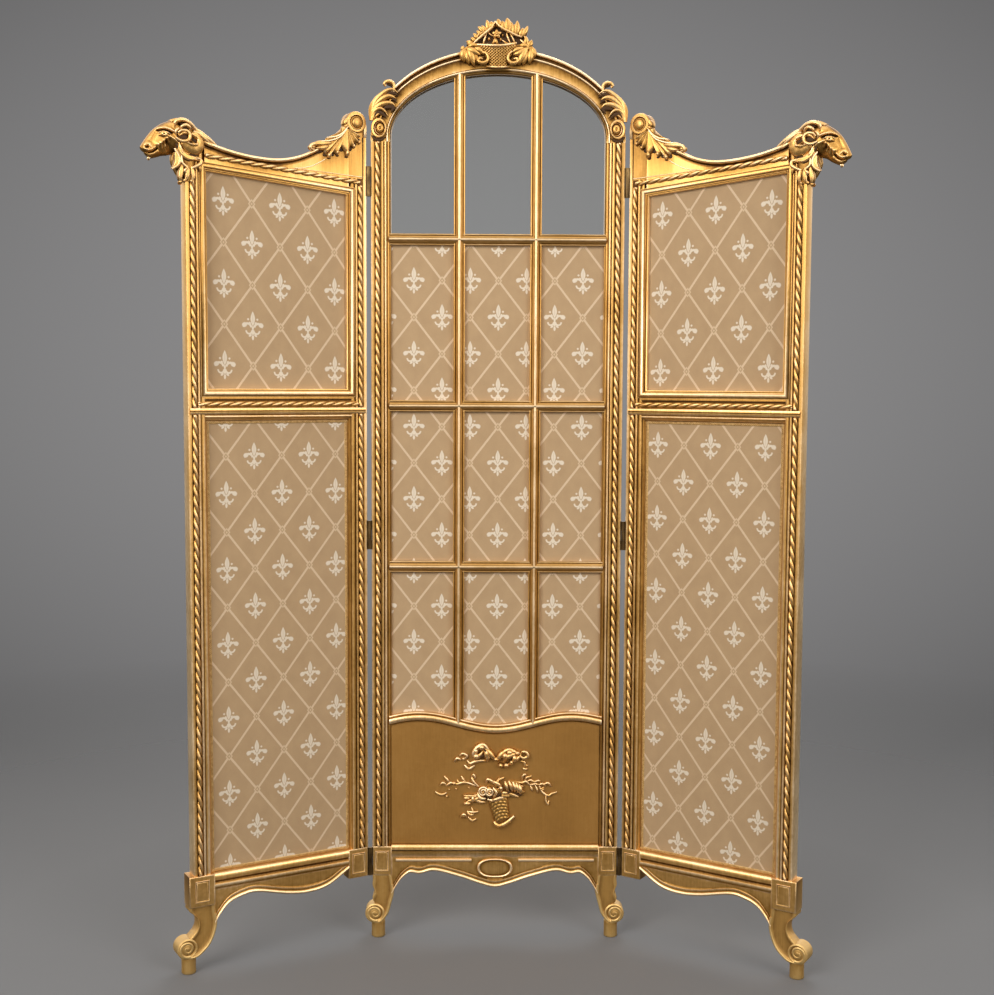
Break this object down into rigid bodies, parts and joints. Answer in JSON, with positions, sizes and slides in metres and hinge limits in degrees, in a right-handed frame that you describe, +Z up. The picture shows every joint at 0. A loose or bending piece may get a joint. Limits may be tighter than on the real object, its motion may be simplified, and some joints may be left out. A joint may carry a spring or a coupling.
{
  "type": "folding screen",
  "caption": "Carved giltwood folding screen: an arched, glazed centre leaf over a dado panel, with fabric side leaves that fold forward on butt hinges and end in ram's heads.",
  "frame": {"origin": "on the floor, on the centre leaf's middle line, midway between the front and the back of the screen as it stands", "axes": "+X to the right seen from the front, +Y to the back, +Z up"},
  "size_m": [1.2964, 0.2645, 1.85],
  "materials": {
    "gilt_wood": "carved and gilded, toned in the hollows",
    "panel_fabric": "woven with a trellis and fleur-de-lis repeat",
    "gimp_braid": "woven braid",
    "backing_board": "plain, cloth covered",
    "pane_glass": "clear",
    "hinge_brass": "aged, satin"
  },
  "bodies": {
    "centre_leaf": {"arch_acanthus": "gilt_wood", "arch_rail": "gilt_wood", "centre_apron": "gilt_wood", "centre_backing": "backing_board", "centre_blocks": "gilt_wood", "centre_bottom_rail": "gilt_wood", "centre_fabric": "panel_fabric", "centre_foot_pegs": "gilt_wood", "centre_hinge_leaves": "hinge_brass", "centre_left_leg": "gilt_wood", "centre_left_stile": "gilt_wood", "centre_right_leg": "gilt_wood", "centre_right_stile": "gilt_wood", "centre_rope_beads": "gilt_wood", "crest_basket": "gilt_wood", "dado_panel": "gilt_wood", "dado_trophy": "gilt_wood", "glass_panes": "pane_glass", "glazing_bars": "gilt_wood", "hinge_pins": "hinge_brass", "muntins": "gilt_wood", "serpentine_rail": "gilt_wood"},
    "left_leaf": {"left_apron": "gilt_wood", "left_backings": "backing_board", "left_blocks": "gilt_wood", "left_bottom_rail": "gilt_wood", "left_crest_acanthus": "gilt_wood", "left_crest_rail": "gilt_wood", "left_foot_peg": "gilt_wood", "left_gimp": "gimp_braid", "left_hinge_leaves": "hinge_brass", "left_inner_stile": "gilt_wood", "left_leg": "gilt_wood", "left_lower_fabric": "panel_fabric", "left_mid_rail": "gilt_wood", "left_outer_stile": "gilt_wood", "left_panel_frame": "gilt_wood", "left_ram_head": "gilt_wood", "left_rope_beads": "gilt_wood", "left_upper_fabric": "panel_fabric"},
    "right_leaf": {"right_apron": "gilt_wood", "right_backings": "backing_board", "right_blocks": "gilt_wood", "right_bottom_rail": "gilt_wood", "right_crest_acanthus": "gilt_wood", "right_crest_rail": "gilt_wood", "right_foot_peg": "gilt_wood", "right_gimp": "gimp_braid", "right_hinge_leaves": "hinge_brass", "right_inner_stile": "gilt_wood", "right_leg": "gilt_wood", "right_lower_fabric": "panel_fabric", "right_mid_rail": "gilt_wood", "right_outer_stile": "gilt_wood", "right_panel_frame": "gilt_wood", "right_ram_head": "gilt_wood", "right_rope_beads": "gilt_wood", "right_upper_fabric": "panel_fabric"}
  },
  "joints": [
    {"name": "left_fold", "type": "hinge", "parent": "centre_leaf", "child": "left_leaf", "pos_m": [-0.2553, 0.10728, 0.834], "axis": [0, 0, 1], "range_deg": [-28.8, 86.2]},
    {"name": "right_fold", "type": "hinge", "parent": "centre_leaf", "child": "right_leaf", "pos_m": [0.2553, 0.10728, 0.834], "axis": [0, 0, -1], "range_deg": [-32.7, 82.3]}
  ]
}
